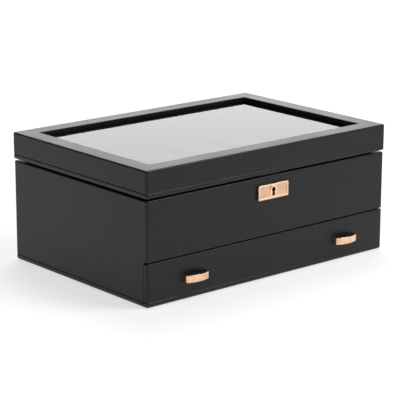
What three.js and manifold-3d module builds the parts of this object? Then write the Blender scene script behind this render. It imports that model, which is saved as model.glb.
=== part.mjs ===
// Watch box: a leather-covered wooden case with a glass-topped hinged lid, a full-width drawer,
// a lock, two strap handles and ten watch pillows in a divided compartment.
// Millimetres, +Z up, front towards -Y. The origin is the centre of the underside.
import * as THREE from "three";
import { mergeVertices } from "three/addons/utils/BufferGeometryUtils.js";
import Module from "manifold-3d";

const wasm = await Module();
wasm.setup();

// ---- Driving dimensions ----
const WIDTH = 340; // over the leather, left to right
const DEPTH = 232; // over the leather, front to back
const HEIGHT = 144.5; // floor to the top of the lid
const BODY_TOP = 113; // rim of the case under the lid
const LID_BOTTOM = 114.8; // lower rim of the closed lid
const LID_OVERHANG = 0.6; // the lid stands out past the case all round
const SKIN = 1.2; // leather thickness
const BOARD = 8; // wooden wall thickness
const CREASE = 0.5; // depth of the pressed line in the leather
const CREASE_HEIGHT = 5.6; // from each lower edge up to its pressed line
const CORNER = 2.6; // radius of the upright corners over the leather

const PAD = 1.5; // felt under the base
const BASE_BOARD = 6;
const DECK_BOTTOM = 50; // underside of the board between drawer and watches
const DECK_BOARD = 4;
const DRAWER_TOP = 47; // top of the drawer front
const FRONT_BOTTOM = 48.4; // lower edge of the fixed front above the drawer
const DRAWER_FRONT_BOTTOM = 0.9;
const DRAWER_FRONT_DEPTH = 4.8; // thickness of the drawer front over the leather
const SEAM = 0.8; // clearance behind the drawer front

const BORDER = 21; // flat frame around the window in the lid
const GLASS_TOP = 139.9;
const GLASS = 3;

const CARD = 2; // lining cards inside the case
const CARD_TOP = 119; // they stand above the rim and locate the lid
const FLOOR_LINING = 1.2;
const DIVIDER = 4;
const DIVIDER_TOP = 105;
const COLUMNS = 5;
const PILLOW = { width: 55, depth: 88, height: 45.5 };

const SLIDE_GAP = 0.8; // around the drawer box
const DRAWER_SIDE = 6;
const DRAWER_FLOOR = 3;
const DRAWER_BOX_TOP = 46.4;
const DRAWER_BACK = 104;

const PLATE = { halfWidth: 21, bottom: 89, top: 104.4, thickness: 3, rim: 0.4, corner: 0.8 };
const KEYHOLE = { radius: 2.7, eye: 98.6, bottom: 91.3, neck: 1.6, flare: 2.8 };
const HANDLE = { x: 108, halfLength: 15.3, bottom: 20.1, height: 7.7, leg: 7.1, bow: 3.4, bend: 2.6, strap: 1.5 };

const HINGE = { x: 105, radius: 2.2, bore: 1.3, pin: 1, halfWidth: 15, knuckle: 4.9, leaf: 1.2, reach: 12.6 };
const SCREW = { head: 2.3, headHeight: 0.7, shank: 1.2, length: 7, hole: 1.55, offset: 9.5 };

const CORNER_STEPS = 4;

// ---- Derived places ----
const X = WIDTH / 2;
const Y = DEPTH / 2;
const LID_X = X + LID_OVERHANG;
const LID_Y = Y + LID_OVERHANG;
const WALL = SKIN + BOARD; // inner face of a wall, counted in from the leather
const IN_X = X - WALL;
const IN_Y = Y - WALL;
const BOARD_X = X - SKIN;
const BOARD_Y = Y - SKIN;
const SEAM_Y = -Y + DRAWER_FRONT_DEPTH + SEAM; // leather edge behind the drawer front
const SHELL_Y = SEAM_Y + SKIN; // boards below the fixed front start here
const BASE_TOP = PAD + BASE_BOARD;
const DECK_TOP = DECK_BOTTOM + DECK_BOARD;
const FLOOR_TOP = DECK_TOP + FLOOR_LINING;
const BOARD_TOP = BODY_TOP - SKIN;
const FRONT_BOARD_BOTTOM = FRONT_BOTTOM + SKIN;
const CARD_X = IN_X - CARD;
const CARD_Y = IN_Y - CARD;
const GLASS_BOTTOM = GLASS_TOP - GLASS;
const SLAB_BOTTOM = 134; // underside of the lid's top frame
const GLASS_INSET = 14.1;
const DRAWER_X = IN_X - SLIDE_GAP;
const DRAWER_BOTTOM = BASE_TOP + SLIDE_GAP;
const DRAWER_FRONT_BACK = -Y + DRAWER_FRONT_DEPTH;
const HINGE_Y = LID_Y + 0.4 + HINGE.radius;
const HINGE_Z = (BODY_TOP + LID_BOTTOM) / 2;

// ---- Materials ----
const finish = (color, roughness, metalness) => new THREE.MeshStandardMaterial({ color, roughness, metalness });
const leather = finish(0x2c2c2d, 0.42, 0);
const wood = finish(0xa98a62, 0.8, 0);
const suede = finish(0x3a3836, 0.95, 0);
const felt = finish(0x242424, 1, 0);
const roseGold = finish(0xe8b79a, 0.22, 1);
const steel = finish(0xb9bcc0, 0.3, 1);
const glass = finish(0xdfe6ea, 0.05, 0);

// ---- Shape helpers ----

// A box between two values on each axis.
function block([x0, x1], [y0, y1], [z0, z1]) {
  const geometry = new THREE.BoxGeometry(1, 1, 1);
  const corners = geometry.attributes.position;
  for (let i = 0; i < corners.count; i++) {
    const x = corners.getX(i) < 0 ? x0 : x1;
    const y = corners.getY(i) < 0 ? y0 : y1;
    const z = corners.getZ(i) < 0 ? z0 : z1;
    corners.setXYZ(i, x, y, z);
  }
  return geometry;
}

// Points of a rectangle with round corners, anticlockwise seen from above.
function roundedRectangle(halfX, halfY, radius) {
  const points = [];
  const quadrants = [[1, 1], [-1, 1], [-1, -1], [1, -1]];
  quadrants.forEach(([sx, sy], quadrant) => {
    for (let step = 0; step <= CORNER_STEPS; step++) {
      const angle = (quadrant + step / CORNER_STEPS) * (Math.PI / 2);
      const x = sx * (halfX - radius) + radius * Math.cos(angle);
      const y = sy * (halfY - radius) + radius * Math.sin(angle);
      points.push([x, y]);
    }
  });
  return points;
}

// A closed solid through rounded rectangles; each level is [inset, z, corner radius].
function loft(halfX, halfY, levels) {
  const positions = [];
  for (const [inset, z, radius] of levels) {
    for (const [x, y] of roundedRectangle(halfX - inset, halfY - inset, radius)) {
      positions.push(x, y, z);
    }
  }
  const size = 4 * (CORNER_STEPS + 1);
  const top = (levels.length - 1) * size;
  const faces = [];
  for (let base = 0; base < top; base += size) {
    for (let i = 0; i < size; i++) {
      const next = (i + 1) % size;
      faces.push(base + i, base + next, base + size + next);
      faces.push(base + i, base + size + next, base + size + i);
    }
  }
  for (let i = 1; i + 1 < size; i++) {
    faces.push(0, i + 1, i);
    faces.push(top, top + i, top + i + 1);
  }
  const geometry = new THREE.BufferGeometry();
  geometry.setAttribute("position", new THREE.Float32BufferAttribute(positions, 3));
  geometry.setIndex(faces);
  return geometry;
}

// A three.js geometry as a solid that can be cut and joined.
function solid(geometry) {
  const bare = geometry.clone();
  bare.deleteAttribute("normal");
  bare.deleteAttribute("uv");
  const merged = mergeVertices(bare);
  const vertProperties = new Float32Array(merged.attributes.position.array);
  const triVerts = new Uint32Array(merged.index.array);
  return new wasm.Manifold(new wasm.Mesh({ numProp: 3, vertProperties, triVerts }));
}

// A cut or joined solid back as a three.js geometry.
function geometryOf(body) {
  const mesh = body.getMesh();
  const geometry = new THREE.BufferGeometry();
  geometry.setAttribute("position", new THREE.Float32BufferAttribute(mesh.vertProperties, 3));
  geometry.setIndex(new THREE.BufferAttribute(new Uint32Array(mesh.triVerts), 1));
  geometry.computeVertexNormals();
  return geometry;
}

const cut = (body, ...tools) => tools.reduce((rest, tool) => rest.subtract(tool), body);
const join = (body, ...others) => others.reduce((sum, other) => sum.add(other), body);
const blockSolid = (x, y, z) => solid(block(x, y, z));

// A round bar along Y, from y0 to y1, centred on (x, z).
function barAlongY(radius, [y0, y1], x, z) {
  const geometry = new THREE.CylinderGeometry(radius, radius, y1 - y0, 16);
  geometry.translate(x, (y0 + y1) / 2, z);
  return geometry;
}

// An outline in the XZ plane pushed from y0 to y1.
function pushAlongY(outline, [y0, y1]) {
  const geometry = new THREE.ExtrudeGeometry(outline, { depth: y1 - y0, bevelEnabled: false, curveSegments: 6 });
  geometry.rotateX(Math.PI / 2);
  geometry.translate(0, y1, 0);
  return geometry;
}

// Adds a named mesh to a group.
function addPart(group, name, geometry, material) {
  const mesh = new THREE.Mesh(geometry, material);
  mesh.name = name;
  group.add(mesh);
  return mesh;
}

// ---- Shared cutters ----

// Round eye over a flared skirt, standing in the XZ plane, as wide as the key needs.
function keyholeOutline(grow) {
  const { radius, eye, bottom, neck, flare } = KEYHOLE;
  const outline = new THREE.Shape();
  const start = Math.asin(neck / radius);
  outline.moveTo(-flare - grow, bottom - grow);
  outline.lineTo(flare + grow, bottom - grow);
  outline.lineTo(neck + grow, eye - radius * Math.cos(start));
  outline.absarc(0, eye, radius + grow, -Math.PI / 2 + start, Math.PI * 1.5 - start, false);
  outline.lineTo(-flare - grow, bottom - grow);
  return outline;
}

const keyholeCutter = (yRange) => solid(pushAlongY(keyholeOutline(0), yRange));

// The screws' places: two in each leaf, above and below the lid joint.
const screwPlaces = [];
for (const side of [-1, 1]) {
  for (const half of [-1, 1]) {
    screwPlaces.push({ side, half, x: side * HINGE.x + half * SCREW.offset });
  }
}
const LOWER_SCREW_Z = HINGE_Z - HINGE.reach * 0.6;
const UPPER_SCREW_Z = HINGE_Z + HINGE.reach * 0.62;
const screwHoles = (z) => screwPlaces.map(({ x }) => solid(barAlongY(SCREW.hole, [LID_Y - 12, LID_Y + 4], x, z)));

// The space that the lock case fills in the front wall.
const LOCK = { halfWidth: 16, front: -Y + SKIN + 2.2, bottom: 87, wall: 1 };
const lockPocket = blockSolid(
  [-LOCK.halfWidth, LOCK.halfWidth],
  [LOCK.front, -IN_Y],
  [LOCK.bottom, BOARD_TOP],
);
// The narrow mouth in the rim that the lid's lug drops through.
const LUG = { halfWidth: 0.9, front: -Y + 4.6, back: -Y + 7.8, tip: 103.4 };
const lugMouth = blockSolid([-3, 3], [LUG.front - 0.8, LUG.back + 0.6], [LOCK.bottom + 14, BODY_TOP + 1]);

// ---- Outer forms ----

const lowerEdge = (z) => [
  [2.2, z, CORNER - 1.6],
  [0.8, z + 0.5, CORNER - 0.6],
  [0, z + 2, CORNER],
  [0, z + CREASE_HEIGHT - CREASE, CORNER],
  [CREASE, z + CREASE_HEIGHT, CORNER],
  [0, z + CREASE_HEIGHT + CREASE, CORNER],
];
const upperEdge = (z, round) => [
  [0, z - round, CORNER],
  [round * 0.3, z - round * 0.3, CORNER - round * 0.3],
  [round, z, CORNER - round * 0.8],
];

const caseForm = () => solid(loft(X, Y, [...lowerEdge(0.5), ...upperEdge(BODY_TOP, 1.4)]));
const lidForm = () => solid(loft(LID_X, LID_Y, [...lowerEdge(LID_BOTTOM), ...upperEdge(HEIGHT, 1.8)]));

// ---- Case ----

function caseBoards(group) {
  const upright = [PAD, BOARD_TOP];
  const front = blockSolid([-BOARD_X, BOARD_X], [-BOARD_Y, SHELL_Y], [FRONT_BOARD_BOTTOM, BOARD_TOP]);
  const tongue = blockSolid([-IN_X, IN_X], [SHELL_Y, -IN_Y], [FRONT_BOARD_BOTTOM, BOARD_TOP]);
  const keyTunnel = keyholeCutter([-BOARD_Y - 1, LOCK.front + 1]);
  addPart(group, "front_wall", geometryOf(cut(join(front, tongue), lockPocket, keyTunnel)), wood);

  const back = blockSolid([-IN_X, IN_X], [IN_Y, BOARD_Y], upright);
  addPart(group, "back_wall", geometryOf(cut(back, ...screwHoles(LOWER_SCREW_Z))), wood);
  addPart(group, "left_wall", block([-BOARD_X, -IN_X], [SHELL_Y, BOARD_Y], upright), wood);
  addPart(group, "right_wall", block([IN_X, BOARD_X], [SHELL_Y, BOARD_Y], upright), wood);
  addPart(group, "base_board", block([-IN_X, IN_X], [SHELL_Y, IN_Y], [PAD, BASE_TOP]), wood);
  addPart(group, "deck_board", block([-IN_X, IN_X], [-IN_Y, IN_Y], [DECK_BOTTOM, DECK_TOP]), wood);
  const padX = X - 10.2;
  const padY = Y - 10.2;
  addPart(group, "base_pad", loft(padX, padY, [[0, 0, 3], [0, PAD, 3]]), felt);
}

// The leather over the case, turned over the rim, under the base and round the drawer opening.
function caseWrap(group) {
  const core = blockSolid([-BOARD_X, BOARD_X], [-BOARD_Y, BOARD_Y], [PAD, BOARD_TOP]);
  const hollow = blockSolid([-IN_X, IN_X], [-IN_Y, IN_Y], [PAD, BODY_TOP + 1]);
  const padOpening = solid(loft(X - 10, Y - 10, [[0, 0, 3], [0, PAD + 0.1, 3]]));
  const drawerSpace = blockSolid([-X - 1, X + 1], [-Y - 1, SEAM_Y], [0, FRONT_BOTTOM]);
  const shell = cut(caseForm(), core, hollow, padOpening, drawerSpace);
  const edge = [SEAM_Y, SHELL_Y];
  const leftEdge = blockSolid([-X + SKIN / 2, -IN_X], edge, [PAD / 2, FRONT_BOTTOM + SKIN]);
  const rightEdge = blockSolid([IN_X, X - SKIN / 2], edge, [PAD / 2, FRONT_BOTTOM + SKIN]);
  const sillEdge = blockSolid([-IN_X, IN_X], edge, [PAD / 2, BASE_TOP]);
  const headEdge = blockSolid([-BOARD_X, BOARD_X], [-BOARD_Y, SHELL_Y], [FRONT_BOTTOM, FRONT_BOARD_BOTTOM]);
  const headTongue = blockSolid([-IN_X, IN_X], [SHELL_Y, -IN_Y], [FRONT_BOTTOM, FRONT_BOARD_BOTTOM]);
  const covered = join(shell, leftEdge, rightEdge, sillEdge, headEdge, headTongue);
  const keyTunnel = keyholeCutter([-Y - 1, -BOARD_Y + 1]);
  addPart(group, "case_wrap", geometryOf(cut(covered, lugMouth, keyTunnel, ...screwHoles(LOWER_SCREW_Z))), leather);
}

function caseLining(group) {
  const upright = [DECK_TOP, CARD_TOP];
  addPart(group, "lining_left", block([-IN_X, -CARD_X], [-IN_Y, IN_Y], upright), suede);
  addPart(group, "lining_right", block([CARD_X, IN_X], [-IN_Y, IN_Y], upright), suede);
  addPart(group, "lining_front", block([-CARD_X, CARD_X], [-IN_Y, -CARD_Y], upright), suede);
  addPart(group, "lining_back", block([-CARD_X, CARD_X], [CARD_Y, IN_Y], upright), suede);
  addPart(group, "floor_lining", block([-CARD_X, CARD_X], [-CARD_Y, CARD_Y], [DECK_TOP, FLOOR_TOP]), suede);
}

const SLOT_WIDTH = (2 * CARD_X - (COLUMNS - 1) * DIVIDER) / COLUMNS;
const SLOT_PITCH = SLOT_WIDTH + DIVIDER;
const SLOT_DEPTH = (2 * CARD_Y - DIVIDER) / 2;

// Halved dividers: the long one is slotted from above, the cross ones from below.
function dividers(group) {
  const fitGap = 0.3;
  const half = DIVIDER / 2;
  const middle = (FLOOR_TOP + DIVIDER_TOP) / 2;
  const places = [];
  for (let i = 1; i < COLUMNS; i++) {
    places.push((i - COLUMNS / 2) * SLOT_PITCH);
  }
  const span = CARD_X - fitGap;
  const slots = places.map((x) =>
    blockSolid([x - half - fitGap, x + half + fitGap], [-DIVIDER, DIVIDER], [middle, DIVIDER_TOP + 1]),
  );
  const long = blockSolid([-span, span], [-half, half], [FLOOR_TOP, DIVIDER_TOP]);
  addPart(group, "long_divider", geometryOf(cut(long, ...slots)), suede);
  places.forEach((x, i) => {
    const reach = CARD_Y - fitGap;
    const cross = blockSolid([x - half, x + half], [-reach, reach], [FLOOR_TOP, DIVIDER_TOP]);
    const slot = blockSolid(
      [x - DIVIDER, x + DIVIDER],
      [-half - fitGap, half + fitGap],
      [FLOOR_TOP - 1, middle + fitGap],
    );
    addPart(group, `cross_divider_${i + 1}`, geometryOf(cut(cross, slot)), suede);
  });
}

// Soft pillows with crowned tops, one in each slot; each stands just clear of the floor lining.
function pillows(group) {
  const levels = [
    [7, 0, 3],
    [2, 3, 6],
    [0, 12, 7],
    [0, 30, 7],
    [2.5, 39, 7],
    [9, PILLOW.height, 5],
  ];
  let number = 1;
  for (const row of [-1, 1]) {
    for (let column = 0; column < COLUMNS; column++) {
      const shape = loft(PILLOW.width / 2, PILLOW.depth / 2, levels);
      const pillow = addPart(group, `watch_pillow_${number}`, shape, suede);
      const x = (column - (COLUMNS - 1) / 2) * SLOT_PITCH;
      pillow.position.set(x, (row * (SLOT_DEPTH + DIVIDER)) / 2, FLOOR_TOP + 0.3);
      number += 1;
    }
  }
}

// A flat box lock let into the front wall from behind, with a mouth on top and a keyhole in front.
function lockCase(group) {
  const { halfWidth, front, bottom, wall } = LOCK;
  const outer = blockSolid([-halfWidth, halfWidth], [front, -IN_Y], [bottom, BOARD_TOP]);
  const inner = blockSolid(
    [-halfWidth + wall, halfWidth - wall],
    [front + wall, -IN_Y - wall],
    [bottom + wall, BOARD_TOP - wall],
  );
  const keyTunnel = keyholeCutter([front - 1, front + wall + 0.5]);
  addPart(group, "lock_case", geometryOf(cut(outer, inner, lugMouth, keyTunnel)), steel);
}

// The lock plate: a flat plate with a raised rim that follows the keyhole.
function escutcheon(group) {
  const { halfWidth, bottom, top, thickness, corner } = PLATE;
  const halfHeight = (top - bottom) / 2;
  const flat = loft(halfWidth, halfHeight, [
    [0, 0, corner],
    [0, thickness - 0.4, corner],
    [0.4, thickness, corner * 0.7],
  ]);
  flat.rotateX(Math.PI / 2);
  flat.translate(0, -Y, (top + bottom) / 2);
  const rimRun = [-Y - thickness - PLATE.rim, -Y - 0.2];
  const rim = solid(pushAlongY(keyholeOutline(1.9), rimRun));
  const plate = cut(join(solid(flat), rim), keyholeCutter([-Y - thickness - 1, -Y + 1]));
  addPart(group, "escutcheon", geometryOf(plate), roseGold);
}

// ---- Hinges, in the frame of each hinge: origin on the pin's axis ----

function knuckle([x0, x1]) {
  const barrel = new THREE.CylinderGeometry(HINGE.radius, HINGE.radius, x1 - x0, 20);
  barrel.rotateZ(Math.PI / 2);
  barrel.translate((x0 + x1) / 2, 0, 0);
  return solid(barrel);
}

function leafHoles(z) {
  return [-1, 1].map((half) => solid(barAlongY(SCREW.hole, [-8, 2], half * SCREW.offset, z - HINGE_Z)));
}

function pinBore() {
  const bore = new THREE.CylinderGeometry(HINGE.bore, HINGE.bore, 2 * HINGE.halfWidth + 2, 16);
  bore.rotateZ(Math.PI / 2);
  return solid(bore);
}

function lowerLeaf() {
  const outer = HINGE.halfWidth;
  const inner = HINGE.knuckle + 0.3;
  const face = Y - HINGE_Y;
  const plateTop = -1.3;
  const sheet = blockSolid([-outer, outer], [face, face + HINGE.leaf], [-HINGE.reach, plateTop]);
  const knuckles = [[-outer, -inner], [inner, outer]].map((span) =>
    join(knuckle(span), blockSolid(span, [face, -0.8], [plateTop - 0.9, plateTop + 0.2])),
  );
  return cut(join(sheet, ...knuckles), pinBore(), ...leafHoles(LOWER_SCREW_Z));
}

function upperLeaf() {
  const face = LID_Y - HINGE_Y;
  const plateBottom = 1.3;
  const sheet = blockSolid(
    [-HINGE.halfWidth, HINGE.halfWidth],
    [face, face + HINGE.leaf],
    [HINGE.radius + 0.4, HINGE.reach],
  );
  const span = [-HINGE.knuckle, HINGE.knuckle];
  const neck = blockSolid(span, [face, face + HINGE.leaf], [plateBottom, HINGE.radius + 0.5]);
  const web = blockSolid(span, [face, -0.6], [plateBottom, plateBottom + 0.8]);
  return cut(join(sheet, neck, web, knuckle(span)), pinBore(), ...leafHoles(UPPER_SCREW_Z));
}

// A pan-headed wood screw pointing to -Y, origin under its head.
function screw() {
  const { head, headHeight, shank, length } = SCREW;
  const profile = [
    [0, -length],
    [shank * 0.3, -length + 0.6],
    [shank, -length + 2],
    [shank, 0],
    [head, 0],
    [head, headHeight * 0.6],
    [head * 0.6, headHeight],
    [0, headHeight],
  ].map(([radius, along]) => new THREE.Vector2(radius, along));
  return new THREE.LatheGeometry(profile, 12);
}

function hingeParts(caseGroup, lidGroup) {
  const sides = { left: -1, right: 1 };
  for (const [side, sign] of Object.entries(sides)) {
    const place = new THREE.Vector3(sign * HINGE.x, HINGE_Y, HINGE_Z);
    const fixed = new THREE.Group();
    const moving = new THREE.Group();
    fixed.position.copy(place);
    moving.position.copy(place);
    caseGroup.add(fixed);
    lidGroup.add(moving);
    addPart(fixed, `hinge_leaf_lower_${side}`, geometryOf(lowerLeaf()), steel);
    addPart(moving, `hinge_leaf_upper_${side}`, geometryOf(upperLeaf()), steel);
    const pin = new THREE.CylinderGeometry(HINGE.pin, HINGE.pin, 2 * HINGE.halfWidth + 1, 16);
    pin.rotateZ(Math.PI / 2);
    addPart(fixed, `hinge_pin_${side}`, pin, steel);
  }
  for (const { side, half, x } of screwPlaces) {
    const where = `${side < 0 ? "left" : "right"}_${half < 0 ? "a" : "b"}`;
    const lower = addPart(caseGroup, `hinge_screw_lower_${where}`, screw(), steel);
    lower.position.set(x, Y + HINGE.leaf, LOWER_SCREW_Z);
    const upper = addPart(lidGroup, `hinge_screw_upper_${where}`, screw(), steel);
    upper.position.set(x, LID_Y + HINGE.leaf, UPPER_SCREW_Z);
  }
}

// ---- Lid ----

const windowForm = (grow, z0) => {
  const inset = BORDER - grow;
  return solid(loft(LID_X, LID_Y, [
    [inset, z0, 2],
    [inset, HEIGHT - 1.2, 2],
    [inset - 0.35, HEIGHT - 0.35, 2],
    [inset - 1.2, HEIGHT + 0.01, 2],
  ]));
};

// The space inside the lid, open below, up to the underside of its top frame.
const lidHollow = () => solid(loft(LID_X, LID_Y, [[WALL, LID_BOTTOM - 1, 0.6], [WALL, SLAB_BOTTOM, 0.6]]));

function lidFrame(group) {
  const rimTop = HEIGHT - SKIN;
  const core = solid(loft(LID_X, LID_Y, [[SKIN, LID_BOTTOM + SKIN, 1.4], [SKIN, rimTop, 1.4]]));
  const opening = solid(loft(LID_X, LID_Y, [[BORDER - SKIN, SLAB_BOTTOM - 1, 1], [BORDER - SKIN, HEIGHT, 1]]));
  const rebate = solid(
    loft(LID_X, LID_Y, [[GLASS_INSET - 0.3, SLAB_BOTTOM - 1, 0.6], [GLASS_INSET - 0.3, GLASS_TOP + 0.3, 0.6]]),
  );
  const frame = cut(core, lidHollow(), opening, rebate, ...screwHoles(UPPER_SCREW_Z));
  addPart(group, "lid_frame", geometryOf(frame), wood);
}

// The leather over the lid, turned in round the window and under the rim.
function lidWrap(group) {
  const core = solid(
    loft(LID_X, LID_Y, [[SKIN, LID_BOTTOM + SKIN, 1.4], [SKIN, HEIGHT - SKIN, 1.4]]),
  );
  const lip = windowForm(SKIN, LID_BOTTOM);
  const below = solid(loft(LID_X, LID_Y, [[WALL, LID_BOTTOM - 1, 0.6], [WALL, GLASS_TOP, 0.6]]));
  const window = windowForm(0, LID_BOTTOM - 1);
  const wrap = cut(lidForm(), core.subtract(lip), below, window, ...screwHoles(UPPER_SCREW_Z));
  addPart(group, "lid_wrap", geometryOf(wrap), leather);
}

function lidGlass(group) {
  const pane = loft(LID_X, LID_Y, [[GLASS_INSET, GLASS_BOTTOM, 1], [GLASS_INSET, GLASS_TOP, 1]]);
  addPart(group, "glass_pane", pane, glass);
}

// The lined retainer: it holds the glass up in its rebate and faces the lid's inner walls.
function lidRetainer(group) {
  const outside = solid(loft(LID_X, LID_Y, [
    [WALL + 0.3, CARD_TOP + 1.5, 0.8],
    [WALL + 0.3, SLAB_BOTTOM - 0.3, 0.8],
    [GLASS_INSET, SLAB_BOTTOM - 0.3, 0.8],
    [GLASS_INSET, GLASS_BOTTOM - 0.3, 0.8],
  ]));
  const inside = solid(loft(LID_X, LID_Y, [
    [WALL + 2.3, CARD_TOP + 1, 1.2],
    [WALL + 2.3, SLAB_BOTTOM - 2.3, 1.2],
    [BORDER - 1.5, SLAB_BOTTOM - 1.8, 1.2],
    [BORDER + 0.5, SLAB_BOTTOM, 1.2],
    [BORDER + 0.5, GLASS_BOTTOM, 1.2],
  ]));
  addPart(group, "lid_retainer", geometryOf(cut(outside, inside)), suede);
}

// The lid's half of the lock: a plate under the front rim with a pierced lug.
function strikePlate(group) {
  const sheet = blockSolid([-13, 13], [-Y + 3, -Y + 8.6], [LID_BOTTOM - 1, LID_BOTTOM]);
  const lug = blockSolid([-LUG.halfWidth, LUG.halfWidth], [LUG.front, LUG.back], [LUG.tip, LID_BOTTOM - 0.5]);
  const eye = blockSolid([-2, 2], [LUG.front + 0.8, LUG.back - 0.8], [BOLT.nose[0] - 0.8, BOLT.nose[1] + 0.8]);
  addPart(group, "strike_plate", geometryOf(cut(join(sheet, lug), eye)), steel);
}

// ---- Lock bolt: drawn back to the left at rest, it slides right through the lug's eye ----

const BOLT = { rest: -2.2, back: -13, y: [-Y + 5.7, -Y + 6.7], nose: [105.4, 108.4], tail: [96, 110] };

function lockBolt(group) {
  const tail = blockSolid([BOLT.back, BOLT.rest - 2.8], BOLT.y, BOLT.tail);
  const nose = blockSolid([BOLT.rest - 3, BOLT.rest], BOLT.y, BOLT.nose);
  addPart(group, "lock_bolt", geometryOf(join(tail, nose)), steel);
}

// ---- Drawer ----

// The drawer front's leather takes the outer form of the case, so the two line up when shut.
function drawerFront(group) {
  const front = blockSolid([-X - 1, X + 1], [-Y - 1, DRAWER_FRONT_BACK], [DRAWER_FRONT_BOTTOM, DRAWER_TOP]);
  const core = [
    [-BOARD_X, BOARD_X],
    [-BOARD_Y, DRAWER_FRONT_BACK],
    [DRAWER_FRONT_BOTTOM + SKIN, DRAWER_TOP - SKIN],
  ];
  const wrap = cut(caseForm().intersect(front), blockSolid(...core));
  addPart(group, "drawer_front_board", block(...core), wood);
  addPart(group, "drawer_front_wrap", geometryOf(wrap), leather);
}

function drawerBox(group) {
  const inner = DRAWER_X - DRAWER_SIDE;
  const upright = [DRAWER_BOTTOM, DRAWER_BOX_TOP];
  const floorTop = DRAWER_BOTTOM + DRAWER_FLOOR;
  const liningTop = floorTop + FLOOR_LINING;
  const backFace = DRAWER_BACK - DRAWER_SIDE;
  const run = [DRAWER_FRONT_BACK, backFace];
  addPart(group, "drawer_side_left", block([-DRAWER_X, -inner], [DRAWER_FRONT_BACK, DRAWER_BACK], upright), wood);
  addPart(group, "drawer_side_right", block([inner, DRAWER_X], [DRAWER_FRONT_BACK, DRAWER_BACK], upright), wood);
  addPart(group, "drawer_back", block([-inner, inner], [backFace, DRAWER_BACK], upright), wood);
  addPart(group, "drawer_floor", block([-inner, inner], run, [DRAWER_BOTTOM, floorTop]), wood);
  addPart(group, "drawer_lining", block([-inner, inner], run, [floorTop, liningTop]), suede);
  const fitGap = 0.3;
  const dividerRun = [DRAWER_FRONT_BACK + fitGap, backFace - fitGap];
  addPart(group, "drawer_divider", block([-1.5, 1.5], dividerRun, [liningTop, DRAWER_BOX_TOP - 4]), suede);
}

// One face of the strap in plan, from foot to foot: a leg, a bend, the bowed front, a bend and a leg.
function strapRun(outline, inset, direction) {
  const { halfLength, leg, bow, bend } = HANDLE;
  const radius = (halfLength * halfLength + bow * bow) / (2 * bow) - inset;
  const centre = radius + inset - leg - bow;
  const half = halfLength - inset;
  const round = bend - inset;
  const corner = centre - Math.sqrt(radius * radius - half * half);
  const reach = Math.asin((half - round) / radius);
  const front = centre - radius * Math.cos(reach);
  outline.lineTo(-direction * half, 0);
  outline.lineTo(-direction * half, corner + round);
  outline.quadraticCurveTo(-direction * half, corner, -direction * (half - round), front);
  outline.absarc(0, centre, radius, -Math.PI / 2 - direction * reach, -Math.PI / 2 + direction * reach, direction < 0);
  outline.quadraticCurveTo(direction * half, corner, direction * half, corner + round);
  outline.lineTo(direction * half, 0);
}

// A flat strap on two legs, its front bowed outwards, its two feet flat on the drawer front.
function handleStrap() {
  const outline = new THREE.Shape();
  outline.moveTo(-HANDLE.halfLength, 0);
  strapRun(outline, 0, 1);
  strapRun(outline, HANDLE.strap, -1);
  outline.closePath();
  return new THREE.ExtrudeGeometry(outline, { depth: HANDLE.height, bevelEnabled: false, curveSegments: 14 });
}

function handles(group) {
  const sides = { left: -1, right: 1 };
  for (const [side, sign] of Object.entries(sides)) {
    const handle = addPart(group, `handle_${side}`, handleStrap(), roseGold);
    handle.position.set(sign * HANDLE.x, -Y, HANDLE.bottom);
  }
}

// ---- The assembly ----

const watchBox = new THREE.Group();
const caseGroup = new THREE.Group();
const lidGroup = new THREE.Group();
const drawerGroup = new THREE.Group();
const boltGroup = new THREE.Group();
watchBox.add(caseGroup, lidGroup, drawerGroup, boltGroup);

caseBoards(caseGroup);
caseWrap(caseGroup);
caseLining(caseGroup);
dividers(caseGroup);
pillows(caseGroup);
lockCase(caseGroup);
escutcheon(caseGroup);
hingeParts(caseGroup, lidGroup);

lidFrame(lidGroup);
lidWrap(lidGroup);
lidGlass(lidGroup);
lidRetainer(lidGroup);
strikePlate(lidGroup);

lockBolt(boltGroup);

drawerFront(drawerGroup);
drawerBox(drawerGroup);
handles(drawerGroup);

export default watchBox;
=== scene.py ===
"""A leather watch box with a glass-topped lid, a drawer, a lock and watch pillows."""

import math
import random

import bmesh
import bpy
from bpy.props import FloatProperty, FloatVectorProperty, IntProperty, PointerProperty
from mathutils import Matrix, Vector, noise


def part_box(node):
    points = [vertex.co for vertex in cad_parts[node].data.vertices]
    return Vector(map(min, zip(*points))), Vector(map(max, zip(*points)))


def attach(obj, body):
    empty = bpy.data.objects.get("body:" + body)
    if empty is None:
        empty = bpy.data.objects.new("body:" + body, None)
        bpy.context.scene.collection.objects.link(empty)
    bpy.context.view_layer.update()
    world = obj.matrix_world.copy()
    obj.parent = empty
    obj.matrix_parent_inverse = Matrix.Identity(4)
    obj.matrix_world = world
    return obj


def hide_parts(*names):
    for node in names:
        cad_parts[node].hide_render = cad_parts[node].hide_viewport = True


bl_info = {
    "name": "Watch Box",
    "version": (1, 0, 0),
    "blender": (4, 5, 0),
    "location": "View3D > Sidebar > Watch Box",
    "description": "Builds a leather watch box piece by piece around its frame",
    "category": "Add Mesh",
}

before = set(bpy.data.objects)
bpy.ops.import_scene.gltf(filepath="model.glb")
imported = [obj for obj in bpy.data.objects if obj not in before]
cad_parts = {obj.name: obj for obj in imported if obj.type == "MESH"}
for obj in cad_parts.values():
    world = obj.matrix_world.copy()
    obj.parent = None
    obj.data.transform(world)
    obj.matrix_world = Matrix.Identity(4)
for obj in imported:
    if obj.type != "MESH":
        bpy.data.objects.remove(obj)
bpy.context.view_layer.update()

MM = 0.001

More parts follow.
